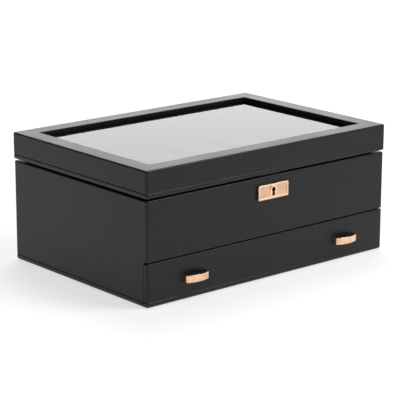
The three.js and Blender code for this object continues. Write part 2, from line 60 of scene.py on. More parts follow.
# Where the frame puts things, in metres.
CASE_LOW, CASE_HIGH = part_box("case_wrap")
LID_LOW, LID_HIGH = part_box("lid_wrap")
DRAWER_LOW, DRAWER_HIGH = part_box("drawer_front_wrap")
HEAD_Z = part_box("front_wall")[0].z - 1.2 * MM  # lower leather edge of the fixed front
SEAM_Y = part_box("base_board")[0].y - 1.2 * MM  # leather edge behind the drawer front
GLASS_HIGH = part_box("glass_pane")[1]
PLATE_LOW, PLATE_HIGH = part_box("escutcheon")
EYE_Z = PLATE_LOW.z + 9.6 * MM  # centre of the keyhole's round eye
WALL = CASE_HIGH.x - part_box("right_wall")[0].x  # leather and board together
SILL_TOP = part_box("base_board")[1].z
LID_BORDER = 21 * MM

SIDES = ("left", "right")
SCREW_NODES = [
    f"{level}_{side}_{end}"
    for level in ("lower", "upper")
    for side in SIDES
    for end in "ab"
]
PILLOW_NODES = [f"watch_pillow_{number}" for number in range(1, 11)]
DIVIDER_NODES = ["long_divider"] + [f"cross_divider_{number}" for number in range(1, 5)]
LINING_NODES = ["lining_left", "lining_right", "lining_front", "lining_back", "floor_lining"]


# ---------------------------------------------------------------- settings


class LeatherSettings(bpy.types.PropertyGroup):
    """Sizes and colour of the leather covering."""

    colour: FloatVectorProperty(
        name="Leather colour",
        description="Base colour of the leatherette",
        subtype="COLOR",
        default=(0.0095, 0.0095, 0.0102),
        min=0.0,
        max=1.0,
    )
    roughness: FloatProperty(
        name="Leather roughness",
        description="How dull the leather's satin finish is",
        default=0.33,
        min=0.0,
        max=1.0,
    )
    thickness: FloatProperty(
        name="Leather thickness",
        description="Thickness of the leather over the boards",
        default=1.15 * MM,
        unit="LENGTH",
    )
    corner: FloatProperty(
        name="Corner radius",
        description="Radius of the upright corners over the leather",
        default=2.6 * MM,
        unit="LENGTH",
    )
    crease_height: FloatProperty(
        name="Crease height",
        description="Height of the pressed line above each lower edge",
        default=5.6 * MM,
        unit="LENGTH",
    )
    crease_depth: FloatProperty(
        name="Crease depth",
        description="Depth of the pressed line",
        default=0.6 * MM,
        unit="LENGTH",
    )


class InteriorSettings(bpy.types.PropertyGroup):
    """Colours and sizes of the lined inside."""

    suede_colour: FloatVectorProperty(
        name="Suede colour",
        description="Base colour of the lining cards and dividers",
        subtype="COLOR",
        default=(0.030, 0.0285, 0.028),
        min=0.0,
        max=1.0,
    )
    pillow_colour: FloatVectorProperty(
        name="Pillow colour",
        description="Base colour of the watch pillows",
        subtype="COLOR",
        default=(0.042, 0.040, 0.039),
        min=0.0,
        max=1.0,
    )
    pillow_pressure: FloatProperty(
        name="Pillow pressure",
        description="Inflating pressure of the cloth simulation",
        default=4.0,
        min=0.0,
    )
    pillow_swell: FloatProperty(
        name="Pillow swell",
        description="Furthest that a point of a pillow may swell",
        default=7 * MM,
        unit="LENGTH",
    )
    pillow_kinds: IntProperty(
        name="Pillow kinds",
        description="How many differently creased pillows are sewn",
        default=3,
        min=1,
        max=10,
    )


class MetalSettings(bpy.types.PropertyGroup):
    """Colours and finishes of the fittings."""

    rose_gold: FloatVectorProperty(
        name="Rose gold",
        description="Colour of the lock plate and handles",
        subtype="COLOR",
        default=(0.94, 0.60, 0.40),
        min=0.0,
        max=1.0,
    )
    steel: FloatVectorProperty(
        name="Steel",
        description="Colour of the hinges and the lock's works",
        subtype="COLOR",
        default=(0.55, 0.56, 0.58),
        min=0.0,
        max=1.0,
    )
    handle_thickness: FloatProperty(
        name="Handle thickness",
        description="Thickness of the handle straps",
        default=1.5 * MM,
        unit="LENGTH",
    )
    handle_bow: FloatProperty(
        name="Handle bow",
        description="How far a handle's front bows out beyond its corners",
        default=3.4 * MM,
        unit="LENGTH",
    )
    handle_edge: FloatProperty(
        name="Handle edge",
        description="Rounding of the handle straps' edges",
        default=0.35 * MM,
        unit="LENGTH",
    )


def settings():
    """The three property groups of the scene."""
    scene = bpy.context.scene
    return scene.leather_settings, scene.interior_settings, scene.metal_settings


# ---------------------------------------------------------------- material helpers


class Nodes:
    """Short names for adding and joining the nodes of one material."""

    def __init__(self, name):
        self.material = bpy.data.materials.new(name)
        self.material.use_nodes = True
        self.tree = self.material.node_tree
        self.tree.nodes.clear()
        self.output = self.add("ShaderNodeOutputMaterial")
        self.place = self.add("ShaderNodeTexCoord").outputs["Object"]

    def add(self, kind, **values):
        node = self.tree.nodes.new(kind)
        for key, value in values.items():
            setattr(node, key, value)
        return node

    def link(self, source, target):
        self.tree.links.new(source, target)

    def noise(self, scale, detail=4.0, roughness=0.5, place=None):
        node = self.add("ShaderNodeTexNoise")
        node.inputs["Scale"].default_value = scale
        node.inputs["Detail"].default_value = detail
        node.inputs["Roughness"].default_value = roughness
        self.link(place or self.place, node.inputs["Vector"])
        return node.outputs["Fac"]

    def cells(self, scale, feature="F1", place=None):
        node = self.add("ShaderNodeTexVoronoi", feature=feature)
        node.inputs["Scale"].default_value = scale
        self.link(place or self.place, node.inputs["Vector"])
        return node.outputs["Distance"]

    def stretched(self, scale):
        node = self.add("ShaderNodeMapping")
        node.inputs["Scale"].default_value = scale
        self.link(self.place, node.inputs["Vector"])
        return node.outputs["Vector"]

    def remap(self, value, low, high, to_low, to_high):
        node = self.add("ShaderNodeMapRange")
        limits = {"From Min": low, "From Max": high, "To Min": to_low, "To Max": to_high}
        for key, limit in limits.items():
            node.inputs[key].default_value = limit
        self.link(value, node.inputs["Value"])
        return node.outputs["Result"]

    def math(self, operation, first, second):
        node = self.add("ShaderNodeMath", operation=operation)
        for index, value in enumerate((first, second)):
            if isinstance(value, (int, float)):
                node.inputs[index].default_value = value
            else:
                self.link(value, node.inputs[index])
        return node.outputs["Value"]

    def mix_colour(self, factor, first, second):
        node = self.add("ShaderNodeMix", data_type="RGBA")
        self.link(factor, node.inputs["Factor"])
        for key, value in (("A", first), ("B", second)):
            socket = [s for s in node.inputs if s.name == key and s.type == "RGBA"][0]
            if hasattr(value, "is_linked"):
                self.link(value, socket)
            else:
                socket.default_value = (*value, 1.0)
        return [s for s in node.outputs if s.type == "RGBA"][0]

    def bump(self, height, strength, distance, normal=None):
        node = self.add("ShaderNodeBump")
        node.inputs["Strength"].default_value = strength
        node.inputs["Distance"].default_value = distance
        self.link(height, node.inputs["Height"])
        if normal is not None:
            self.link(normal, node.inputs["Normal"])
        return node.outputs["Normal"]

    def principled(self, colour, roughness, normal=None, **fixed):
        shader = self.add("ShaderNodeBsdfPrincipled")
        self.link(colour, shader.inputs["Base Color"])
        self.link(roughness, shader.inputs["Roughness"])
        if normal is not None:
            self.link(normal, shader.inputs["Normal"])
        for key, value in fixed.items():
            shader.inputs[key.replace("_", " ")].default_value = value
        self.link(shader.outputs["BSDF"], self.output.inputs["Surface"])
        return shader


def scaled(colour, factor):
    """A colour made lighter or darker."""
    return tuple(min(1.0, channel * factor) for channel in colour)


# ---------------------------------------------------------------- materials


def leather_material(name, colour, roughness):
    """Smooth satin leatherette: fine pebbled grain, faint pores and slow changes of sheen."""
    nodes = Nodes(name)
    cloud = nodes.noise(9.0, 3.0, 0.6)
    speck = nodes.noise(1400.0, 2.0, 0.6)
    grain = nodes.cells(1500.0)
    pores = nodes.cells(780.0, "DISTANCE_TO_EDGE")
    tone = nodes.mix_colour(
        nodes.remap(cloud, 0.35, 0.65, 0.0, 1.0), scaled(colour, 0.86), scaled(colour, 1.16)
    )
    tint = nodes.mix_colour(nodes.remap(speck, 0.3, 0.8, 0.0, 0.35), tone, scaled(colour, 1.5))
    dull = nodes.remap(cloud, 0.3, 0.7, roughness - 0.03, roughness + 0.05)
    gloss = nodes.math("ADD", dull, nodes.remap(speck, 0.3, 0.8, -0.03, 0.05))
    fine = nodes.bump(grain, 0.14, 0.1 * MM)
    wide = nodes.bump(nodes.remap(pores, 0.0, 0.12, 0.0, 1.0), 0.16, 0.1 * MM, fine)
    sag = nodes.bump(nodes.noise(28.0, 2.0), 0.06, 0.6 * MM, wide)
    nodes.principled(tint, gloss, sag, Specular_IOR_Level=0.27)
    return nodes.material


def suede_material(name, colour):
    """Short napped suede: soft sheen, brushed patches and a fibrous surface."""
    nodes = Nodes(name)
    patches = nodes.noise(38.0, 4.0, 0.65)
    fibres = nodes.noise(2600.0, 3.0, 0.7)
    brushed = nodes.mix_colour(
        nodes.remap(patches, 0.32, 0.68, 0.0, 1.0), scaled(colour, 0.72), scaled(colour, 1.35)
    )
    tint = nodes.mix_colour(nodes.remap(fibres, 0.3, 0.75, 0.0, 0.5), brushed, scaled(colour, 2.0))
    dull = nodes.remap(fibres, 0.3, 0.7, 0.85, 1.0)
    nap = nodes.bump(fibres, 0.45, 0.25 * MM)
    nodes.principled(tint, dull, nap, Sheen_Weight=0.35, Sheen_Roughness=0.5, Specular_IOR_Level=0.15)
    return nodes.material


def felt_material():
    """Pressed black felt with loose fibres."""
    nodes = Nodes("pressed_felt")
    fibres = nodes.noise(900.0, 6.0, 0.75)
    lumps = nodes.noise(120.0, 3.0, 0.5)
    dark = (0.012, 0.012, 0.012)
    tint = nodes.mix_colour(nodes.remap(fibres, 0.35, 0.75, 0.0, 1.0), dark, scaled(dark, 3.0))
    rough = nodes.remap(lumps, 0.3, 0.7, 0.9, 1.0)
    nodes.principled(tint, rough, nodes.bump(fibres, 0.6, 0.5 * MM), Specular_IOR_Level=0.1)
    return nodes.material


def board_material():
    """Fibreboard: brown, speckled with darker fibres."""
    nodes = Nodes("fibreboard")
    chips = nodes.noise(650.0, 5.0, 0.7)
    clouds = nodes.noise(30.0, 3.0, 0.5)
    brown = (0.30, 0.19, 0.105)
    tone = nodes.mix_colour(nodes.remap(clouds, 0.3, 0.7, 0.0, 1.0), scaled(brown, 0.85), scaled(brown, 1.12))
    tint = nodes.mix_colour(nodes.remap(chips, 0.35, 0.7, 0.0, 0.6), tone, scaled(brown, 0.45))
    rough = nodes.remap(chips, 0.3, 0.7, 0.72, 0.9)
    nodes.principled(tint, rough, nodes.bump(chips, 0.25, 0.2 * MM))
    return nodes.material


def paper_material():
    """Black covering paper with a fine emboss, as on hidden frames and drawer sides."""
    nodes = Nodes("black_paper")
    emboss = nodes.cells(700.0)
    scuffs = nodes.noise(60.0, 5.0, 0.7)
    black = (0.016, 0.016, 0.017)
    tint = nodes.mix_colour(nodes.remap(scuffs, 0.45, 0.8, 0.0, 0.7), black, scaled(black, 2.4))
    rough = nodes.remap(scuffs, 0.3, 0.7, 0.55, 0.72)
    nodes.principled(tint, rough, nodes.bump(emboss, 0.2, 0.15 * MM))
    return nodes.material


def rose_gold_material(name, colour, roughness):
    """Rose gold plate with hairline polishing marks, faint tarnish and slightly worn tone."""
    nodes = Nodes(name)
    hairs = nodes.noise(900.0, 3.0, 0.6, nodes.stretched((0.06, 1.0, 2.2)))
    blush = nodes.noise(190.0, 3.0, 0.6)
    tarnish = nodes.noise(420.0, 4.0, 0.7)
    tint = nodes.mix_colour(nodes.remap(blush, 0.38, 0.62, 0.0, 1.0), colour, scaled(colour, 0.8))
    worn = nodes.mix_colour(nodes.remap(tarnish, 0.55, 0.75, 0.0, 0.5), tint, scaled(colour, 0.55))
    warm = nodes.mix_colour(nodes.remap(hairs, 0.4, 0.8, 0.0, 0.3), worn, scaled(colour, 1.08))
    rough = nodes.remap(hairs, 0.3, 0.7, roughness, roughness + 0.1)
    nodes.principled(warm, rough, nodes.bump(hairs, 0.08, 0.05 * MM), Metallic=1.0)
    return nodes.material


def steel_material(name, colour):
    """Brushed steel: long scratches along X and a few dull spots."""
    nodes = Nodes(name)
    scratches = nodes.noise(1500.0, 4.0, 0.7, nodes.stretched((0.03, 1.0, 1.0)))
    spots = nodes.noise(220.0, 4.0, 0.6)
    tone = nodes.mix_colour(
        nodes.remap(scratches, 0.3, 0.7, 0.0, 1.0), scaled(colour, 0.85), scaled(colour, 1.1)
    )
    tint = nodes.mix_colour(nodes.remap(spots, 0.5, 0.75, 0.0, 0.5), tone, scaled(colour, 0.7))
    rough = nodes.math(
        "ADD", nodes.remap(scratches, 0.3, 0.7, 0.24, 0.36), nodes.remap(spots, 0.5, 0.75, 0.0, 0.12)
    )
    nodes.principled(tint, rough, nodes.bump(scratches, 0.12, 0.06 * MM), Metallic=1.0)
    return nodes.material


def glass_material():
    """Clear window glass: see-through face on, mirror-like at a glance, with faint wiping marks."""
    nodes = Nodes("clear_glass")
    smears = nodes.noise(14.0, 4.0, 0.6, nodes.stretched((1.0, 2.5, 1.0)))
    see_through = nodes.add("ShaderNodeBsdfTransparent")
    mirror = nodes.add("ShaderNodeBsdfGlossy")
    mirror.inputs["Color"].default_value = (0.975, 0.98, 1.0, 1.0)
    nodes.link(nodes.remap(smears, 0.4, 0.8, 0.0, 0.035), mirror.inputs["Roughness"])
    weight = nodes.add("ShaderNodeLayerWeight")
    weight.inputs["Blend"].default_value = 0.5
    grazing = nodes.math("POWER", weight.outputs["Facing"], 5.0)
    slant = nodes.math("POWER", weight.outputs["Facing"], 2.0)
    tint = nodes.mix_colour(slant, (0.93, 0.95, 0.94), (0.28, 0.30, 0.31))
    nodes.link(tint, see_through.inputs["Color"])
    outer = nodes.math("SUBTRACT", 1.0, nodes.add("ShaderNodeNewGeometry").outputs["Backfacing"])
    mixer = nodes.add("ShaderNodeMixShader")
    nodes.link(nodes.math("MULTIPLY", nodes.remap(grazing, 0.0, 1.0, 0.05, 0.8), outer), mixer.inputs["Fac"])
    nodes.link(see_through.outputs["BSDF"], mixer.inputs[1])
    nodes.link(mirror.outputs["BSDF"], mixer.inputs[2])
    nodes.link(mixer.outputs["Shader"], nodes.output.inputs["Surface"])
    return nodes.material


def floor_material():
    """Pale paper floor that gives off some light of its own, so that it stays white near the box."""
    nodes = Nodes("pale_floor")
    fleck = nodes.noise(60.0, 3.0, 0.5)
    tint = nodes.mix_colour(fleck, (0.39, 0.39, 0.39), (0.41, 0.41, 0.41))
    dull = nodes.remap(fleck, 0.0, 1.0, 0.85, 0.95)
    shader = nodes.principled(tint, dull, None, Specular_IOR_Level=0.1, Emission_Strength=0.62)
    shader.inputs["Emission Color"].default_value = (1.0, 1.0, 1.0, 1.0)
    return nodes.material


def material(name):
    """A finish by name, made the first time that it is asked for."""
    if name in bpy.data.materials:
        return bpy.data.materials[name]
    leather, interior, metal = settings()
    makers = {
        "satin_leather": lambda: leather_material("satin_leather", leather.colour, leather.roughness),
        "lining_suede": lambda: suede_material("lining_suede", interior.suede_colour),
        "cushion_suede": lambda: suede_material("cushion_suede", interior.pillow_colour),
        "pressed_felt": felt_material,
        "fibreboard": board_material,
        "black_paper": paper_material,
        "polished_rose_gold": lambda: rose_gold_material("polished_rose_gold", metal.rose_gold, 0.14),
        # The satin copy's colour darkened to 0.84 is painted shade on the recessed plate face; its rougher
        # satin finish is real.
        "satin_shaded_rose_gold": lambda: rose_gold_material("satin_shaded_rose_gold", scaled(metal.rose_gold, 0.84), 0.26),
        "brushed_steel": lambda: steel_material("brushed_steel", metal.steel),
        "dark_steel": lambda: steel_material("dark_steel", scaled(metal.steel, 0.08)),
        "clear_glass": glass_material,
        "pale_floor": floor_material,
    }
    return makers[name]()


# ---------------------------------------------------------------- mesh helpers


def add_piece(name, mesh, body, finish):
    """Puts a mesh in the scene as a piece that rides on a body."""
    piece = bpy.data.objects.new(name, mesh)
    bpy.context.scene.collection.objects.link(piece)
    mesh.materials.clear()
    mesh.materials.append(material(finish))
    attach(piece, body)
    return piece


def mesh_from(bm, name, sharp=40.0):
    """A smooth-shaded mesh, with edges sharper than the angle left crisp."""
    mesh = bpy.data.meshes.new(name)
    bm.to_mesh(mesh)
    bm.free()
    shade(mesh, sharp)
    return mesh


def shade(mesh, sharp):
    """Smooth shading up to an angle between faces."""
    mesh.shade_smooth()
    mesh.set_sharp_from_angle(angle=math.radians(sharp))


def apply_modifiers(piece, sharp=40.0):
    """Bakes a piece's modifiers into its mesh."""
    graph = bpy.context.evaluated_depsgraph_get()
    graph.update()
    mesh = bpy.data.meshes.new_from_object(piece.evaluated_get(graph))
    piece.modifiers.clear()
    piece.data = mesh
    shade(mesh, sharp)


def carve(piece, cutter):
    """Cuts one mesh out of another and throws the cutter away."""
    boolean = piece.modifiers.new("Cut", "BOOLEAN")
    boolean.operation = "DIFFERENCE"
    boolean.solver = "EXACT"
    boolean.object = cutter
    apply_modifiers(piece)
    bpy.data.objects.remove(cutter)


def block(name, low, high):
    """A plain box mesh object, used only as a cutter."""
    bm = bmesh.new()
    bmesh.ops.create_cube(bm, size=1.0)
    for vert in bm.verts:
        for axis in range(3):
            vert.co[axis] = low[axis] if vert.co[axis] < 0 else high[axis]
    mesh = bpy.data.meshes.new(name)
    bm.to_mesh(mesh)
    bm.free()
    cutter = bpy.data.objects.new(name, mesh)
    bpy.context.scene.collection.objects.link(cutter)
    return cutter


def arc(centre_in, centre_z, radius, start, end, steps, ease=0.2 * MM):
    """Profile points (inset, height) on an arc, with a short straight at each end to keep flats flat.

    0 degrees points outwards, 90 up and 180 inwards.
    """
    points = []
    for step in range(steps + 1):
        angle = math.radians(start + (end - start) * step / steps)
        points.append((centre_in - radius * math.cos(angle), centre_z + radius * math.sin(angle)))
    run = math.copysign(ease, radius * (end - start))
    first = math.radians(start)
    last = math.radians(end)
    before = (points[0][0] - run * math.sin(first), points[0][1] - run * math.cos(first))
    after = (points[-1][0] + run * math.sin(last), points[-1][1] + run * math.cos(last))
    return [before, *points, after] if ease else points


def crease(height, depth):
    """Profile points of a pressed line in an upright face."""
    half = 0.85 * MM
    rows = [(-1.4, 0.0), (-1.0, 0.0), (-0.55, 0.18), (-0.2, 0.8), (0.0, 1.0)]
    rows += [(-step, share) for step, share in reversed(rows[:-1])]
    return [(depth * share, height + half * step) for step, share in rows]


def drawn_in(stops, half, pad):
    """The same stops, with any that lies past the loop's side moved to where its corner starts."""
    reach = half + 0.05 * MM
    return [stop if abs(stop) <= reach else math.copysign(pad, stop) for stop in stops]


def plan_loop(half_x, half_y, radius, stops_x, stops_y, steps=7):
    """Points round a rectangle with round corners, anticlockwise, with extra points at the stops."""
    pad_x = half_x - radius - 0.3 * MM
    pad_y = half_y - radius - 0.3 * MM
    across = [-pad_x, *drawn_in(stops_x, half_x, pad_x), pad_x]
    along = [-pad_y, *drawn_in(stops_y, half_y, pad_y), pad_y]
    right = [(half_x, y) for y in along]
    back = [(x, half_y) for x in reversed(across)]
    left = [(-half_x, y) for y in reversed(along)]
    front = [(x, -half_y) for x in across]
    points = []
    for quarter, straight in enumerate((back, left, front, right)):
        sign_x = (1, -1, -1, 1)[quarter]
        sign_y = (1, 1, -1, -1)[quarter]
        for step in range(steps + 1):
            angle = math.radians(90 * (quarter + step / steps))
            x = sign_x * (half_x - radius) + radius * math.cos(angle)
            y = sign_y * (half_y - radius) + radius * math.sin(angle)
            points.append((x, y))
        points += straight
    return points


def ring_sheet(half_x, half_y, corner, profile, stops_x, stops_y):
    """A sheet that follows a profile of (inset, height) points all the way round the box."""
    bm = bmesh.new()
    rings = []
    for inset, height in profile:
        radius = max(corner - inset, 0.5 * MM)
        loop = plan_loop(half_x - inset, half_y - inset, radius, stops_x, stops_y)
        rings.append([bm.verts.new((x, y, height)) for x, y in loop])
    for lower, upper in zip(rings, rings[1:]):
        for index, vert in enumerate(lower):
            after = (index + 1) % len(lower)
            bm.faces.new((vert, lower[after], upper[after], upper[index]))
    return bm


def skin(bm, name, thickness):
    """Gives a leather sheet its thickness, inwards from its outer face."""
    mesh = bpy.data.meshes.new(name)
    bm.to_mesh(mesh)
    bm.free()
    sheet = bpy.data.objects.new(name, mesh)
    bpy.context.scene.collection.objects.link(sheet)
    solidify = sheet.modifiers.new("Thickness", "SOLIDIFY")
    solidify.thickness = thickness
    solidify.offset = -1.0
    solidify.use_even_offset = False
    solidify.use_quality_normals = True
    apply_modifiers(sheet)
    mesh = sheet.data
    bpy.data.objects.remove(sheet)
    return mesh


def even_stops(reach, spacing):
    """Evenly spaced values from -reach to reach."""
    count = max(2, round(2 * reach / spacing) + 1)
    return [-reach + 2 * reach * index / (count - 1) for index in range(count)]


def fine_edges_group():
    """A node group that shades smoothly up to 35 degrees and keeps sharper edges crisp."""
    name = "fine_edges"
    if name in bpy.data.node_groups:
        return bpy.data.node_groups[name]
    group = bpy.data.node_groups.new(name, "GeometryNodeTree")
    group.interface.new_socket(name="Geometry", in_out="INPUT", socket_type="NodeSocketGeometry")
    group.interface.new_socket(name="Geometry", in_out="OUTPUT", socket_type="NodeSocketGeometry")
    entry = group.nodes.new("NodeGroupInput")
    leave = group.nodes.new("NodeGroupOutput")
    faces = group.nodes.new("GeometryNodeSetShadeSmooth")
    edges = group.nodes.new("GeometryNodeSetShadeSmooth")
    edges.domain = "EDGE"
    angle = group.nodes.new("GeometryNodeInputMeshEdgeAngle")
    limit = group.nodes.new("FunctionNodeCompare")
    limit.operation = "LESS_EQUAL"
    limit.inputs["B"].default_value = math.radians(35)
    group.links.new(angle.outputs["Unsigned Angle"], limit.inputs["A"])
    group.links.new(entry.outputs["Geometry"], faces.inputs["Geometry"])
    group.links.new(faces.outputs["Geometry"], edges.inputs["Geometry"])
    group.links.new(limit.outputs["Result"], edges.inputs["Shade Smooth"])
    group.links.new(edges.outputs["Geometry"], leave.inputs["Geometry"])
    return group


def dress_node(node, finish, edge=0.3 * MM, segments=2):
    """Gives a frame node its finish, rounded edges and smooth shading, all by modifiers."""
    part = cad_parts[node]
    part.data.materials.clear()
    part.data.materials.append(material(finish))
    flats = part.modifiers.new("Join flats", "DECIMATE")
    flats.decimate_type = "DISSOLVE"
    flats.angle_limit = math.radians(1)
    bevel = part.modifiers.new("Round edges", "BEVEL")
    bevel.width = edge
    bevel.segments = segments
    bevel.limit_method = "ANGLE"
    bevel.angle_limit = math.radians(40)
    smooth = part.modifiers.new("Fine edges", "NODES")
    smooth.node_group = fine_edges_group()


def flat_cutting(name, outlines, depth, edge, facing_y):
    """A plate cut to closed outlines in the XZ plane, with rounded edges; later outlines are holes."""
    curve = bpy.data.curves.new(name, "CURVE")
    curve.dimensions = "2D"
    curve.fill_mode = "BOTH"
    curve.extrude = depth / 2 - edge
    curve.bevel_depth = edge
    curve.bevel_resolution = 3
    for outline in outlines:
        spline = curve.splines.new("POLY")
        spline.points.add(len(outline) - 1)
        for point, (x, z) in zip(spline.points, outline):
            point.co = (x, z, 0, 1)
        spline.use_cyclic_u = True
    holder = bpy.data.objects.new(name, curve)
    bpy.context.scene.collection.objects.link(holder)
    graph = bpy.context.evaluated_depsgraph_get()
    mesh = bpy.data.meshes.new_from_object(holder.evaluated_get(graph))
    bpy.data.objects.remove(holder)
    turn = Matrix.Translation((0, facing_y + depth / 2, 0)) @ Matrix.Rotation(math.radians(90), 4, "X")
    mesh.transform(turn)
    bm = bmesh.new()
    bm.from_mesh(mesh)
    bmesh.ops.remove_doubles(bm, verts=bm.verts, dist=0.004 * MM)
    bmesh.ops.recalc_face_normals(bm, faces=bm.faces)
    bm.to_mesh(mesh)
    bm.free()
    shade(mesh, 20.0)
    return mesh


# ---------------------------------------------------------------- leather


def case_profile(leather):
    """From under the base, up the outer face, over the rim and down inside the wall."""
    low = CASE_LOW.z
    top = CASE_HIGH.z
    tuck = WALL - 0.2 * MM
    points = [(9.7 * MM, low), (5.6 * MM, low)]
    points += arc(2.4 * MM, low + 2.4 * MM, 2.4 * MM, -90, 0, 6)
    points += crease(low + leather.crease_height, leather.crease_depth)
    points += [(0, HEAD_Z), (0, HEAD_Z + 1.2 * MM)]
    points += [(0, HEAD_Z + (top - HEAD_Z) * share) for share in (0.35, 0.7)]
    points += arc(1.5 * MM, top - 1.5 * MM, 1.5 * MM, 0, 90, 5)
    points += arc(tuck - 0.7 * MM, top - 0.7 * MM, 0.7 * MM, 90, 180, 3)
    points += [(tuck, top - 4 * MM)]
    return points


def case_leather():
    """The case's covering: one sheet round the box, open for the drawer, its edges turned in."""
    leather = settings()[0]
    half_x = CASE_HIGH.x
    half_y = CASE_HIGH.y
    stops_x = even_stops(half_x - 12 * MM, 30 * MM)
    stops_y = [SEAM_Y] + even_stops(half_y - 14 * MM, 30 * MM)
    bm = ring_sheet(half_x, half_y, leather.corner, case_profile(leather), stops_x, stops_y)
    tiny = 0.01 * MM
    opening = []
    for face in bm.faces:
        centre = face.calc_center_median()
        if centre.z < HEAD_Z and centre.y < SEAM_Y:
            opening.append(face)
    bmesh.ops.delete(bm, geom=opening, context="FACES")
    rim = [edge for edge in bm.edges if edge.is_boundary]
    seams = [e for e in rim if all(abs(v.co.y - SEAM_Y) < tiny and v.co.z <= HEAD_Z + tiny for v in e.verts)]
    uprights = [
        e
        for e in seams
        if abs(e.verts[0].co.z - e.verts[1].co.z) > tiny
        or abs(e.verts[0].co.x) > half_x - 3 * MM
    ]
    head = [e for e in rim if all(abs(v.co.z - HEAD_Z) < tiny for v in e.verts)]
    sill = [e for e in seams if e not in uprights and e not in head]
    side_reach = half_x - WALL + 0.4 * MM
    turn_in(
        bm,
        [e for e in uprights if e not in head],
        lambda co: Vector((math.copysign(side_reach, co.x), SEAM_Y, co.z)),
    )
    first = turn_in(bm, head, lambda co: Vector((max(-side_reach, min(side_reach, co.x)), SEAM_Y, HEAD_Z)))
    inner = [
        e
        for e in first
        if abs(e.verts[0].co.x) < side_reach + tiny
        and abs(e.verts[1].co.x) < side_reach + tiny
    ]
    turn_in(bm, inner, lambda co: Vector((co.x, -half_y + WALL, HEAD_Z)))
    face = turn_in(
        bm,
        sill,
        lambda co: Vector((max(-side_reach, min(side_reach, co.x)), SEAM_Y, SILL_TOP + 0.3 * MM)),
    )
    turn_in(bm, face, lambda co: Vector((co.x, SEAM_Y + 6 * MM, SILL_TOP + 0.3 * MM)))
    bmesh.ops.remove_doubles(bm, verts=bm.verts, dist=0.02 * MM)
    bmesh.ops.dissolve_degenerate(bm, dist=0.01 * MM, edges=bm.edges)
    folds = []
    for edge in bm.edges:
        if len(edge.link_faces) != 2:
            continue
        on_seam = all(abs(v.co.y - SEAM_Y) < tiny and abs(v.co.x) > half_x - 2 * MM for v in edge.verts)
        on_head = all(abs(v.co.z - HEAD_Z) < tiny and v.co.y < SEAM_Y + tiny for v in edge.verts)
        outer = all(abs(v.co.x) > half_x - 3 * MM or v.co.y < -half_y + 3 * MM for v in edge.verts)
        if (on_seam or on_head) and outer and edge.calc_face_angle(0) > math.radians(50):
            folds.append(edge)
    bmesh.ops.bevel(
        bm, geom=folds, offset=0.6 * MM, segments=3, profile=0.5, affect="EDGES", clamp_overlap=True
    )
    mesh = skin(bm, "case_leather", leather.thickness)
    piece = add_piece("case_leather", mesh, "case", "satin_leather")
    carve(piece, keyhole_cutter())
    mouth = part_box("strike_plate")
    low = Vector((-3 * MM, mouth[0].y + 1.2 * MM, CASE_HIGH.z - 6 * MM))
    high = Vector((3 * MM, mouth[1].y - 0.4 * MM, CASE_HIGH.z + 2 * MM))
    carve(piece, block("mouth", low, high))
    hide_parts("case_wrap")
    return piece


def turn_in(bm, edges, place):
    """Folds boundary edges over: extrudes them and moves the new edge to its place."""
    made = bmesh.ops.extrude_edge_only(bm, edges=edges)["geom"]
    for vert in (item for item in made if isinstance(item, bmesh.types.BMVert)):
        vert.co = place(vert.co)
    return [item for item in made if isinstance(item, bmesh.types.BMEdge) and item.is_boundary]


def lid_leather():
    """The lid's covering: from inside the rim, round the outer face and down into the window."""
    leather = settings()[0]
    low = LID_LOW.z
    top = LID_HIGH.z
    tuck = WALL - 0.2 * MM
    profile = [(tuck, low + 4 * MM)]
    profile += arc(tuck - 0.7 * MM, low + 0.7 * MM, 0.7 * MM, 180, 270, 3)
    profile += arc(2.4 * MM, low + 2.4 * MM, 2.4 * MM, -90, 0, 6)
    profile += crease(low + leather.crease_height, leather.crease_depth)
    profile += [(0, low + 12 * MM), (0, low + 20 * MM)]
    profile += arc(1.8 * MM, top - 1.8 * MM, 1.8 * MM, 0, 90, 6)
    profile += [(LID_BORDER / 2, top)]
    profile += arc(LID_BORDER - 0.8 * MM, top - 0.8 * MM, 0.8 * MM, 90, 180, 4)
    profile += [(LID_BORDER, GLASS_HIGH.z + 0.02 * MM)]
    stops_x = even_stops(LID_HIGH.x - 24 * MM, 30 * MM)
    stops_y = even_stops(LID_HIGH.y - 24 * MM, 30 * MM)
    bm = ring_sheet(LID_HIGH.x, LID_HIGH.y, leather.corner, profile, stops_x, stops_y)
    mesh = skin(bm, "lid_leather", leather.thickness)
    piece = add_piece("lid_leather", mesh, "lid", "satin_leather")
    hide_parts("lid_wrap")
    return piece


def drawer_leather():
    """The drawer front's covering, turned over its four edges."""
    leather = settings()[0]
    low = DRAWER_LOW.z
    top = DRAWER_HIGH.z
    back = DRAWER_HIGH.y
    depth = back - DRAWER_LOW.y
    profile = [(depth, low)]
    profile += arc(2.4 * MM, low + 2.0 * MM, 2.4 * MM, -56, 0, 5, 0)
    profile += crease(CASE_LOW.z + leather.crease_height, leather.crease_depth)
    profile += [(0, low + (top - low) * share) for share in (0.4, 0.7)]
    profile += arc(1.1 * MM, top - 1.1 * MM, 1.1 * MM, 0, 90, 5)
    profile += [(depth, top)]
    stops_x = even_stops(DRAWER_HIGH.x - 12 * MM, 30 * MM)
    stops_y = [back, 0.0]
    bm = ring_sheet(DRAWER_HIGH.x, CASE_HIGH.y, leather.corner, profile, stops_x, stops_y)
    spare = [face for face in bm.faces if face.calc_center_median().y > back]
    bmesh.ops.delete(bm, geom=spare, context="FACES")
    mesh = skin(bm, "drawer_leather", leather.thickness)
    piece = add_piece("drawer_leather", mesh, "drawer", "satin_leather")
    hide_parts("drawer_front_wrap")
    return piece


# ---------------------------------------------------------------- lock


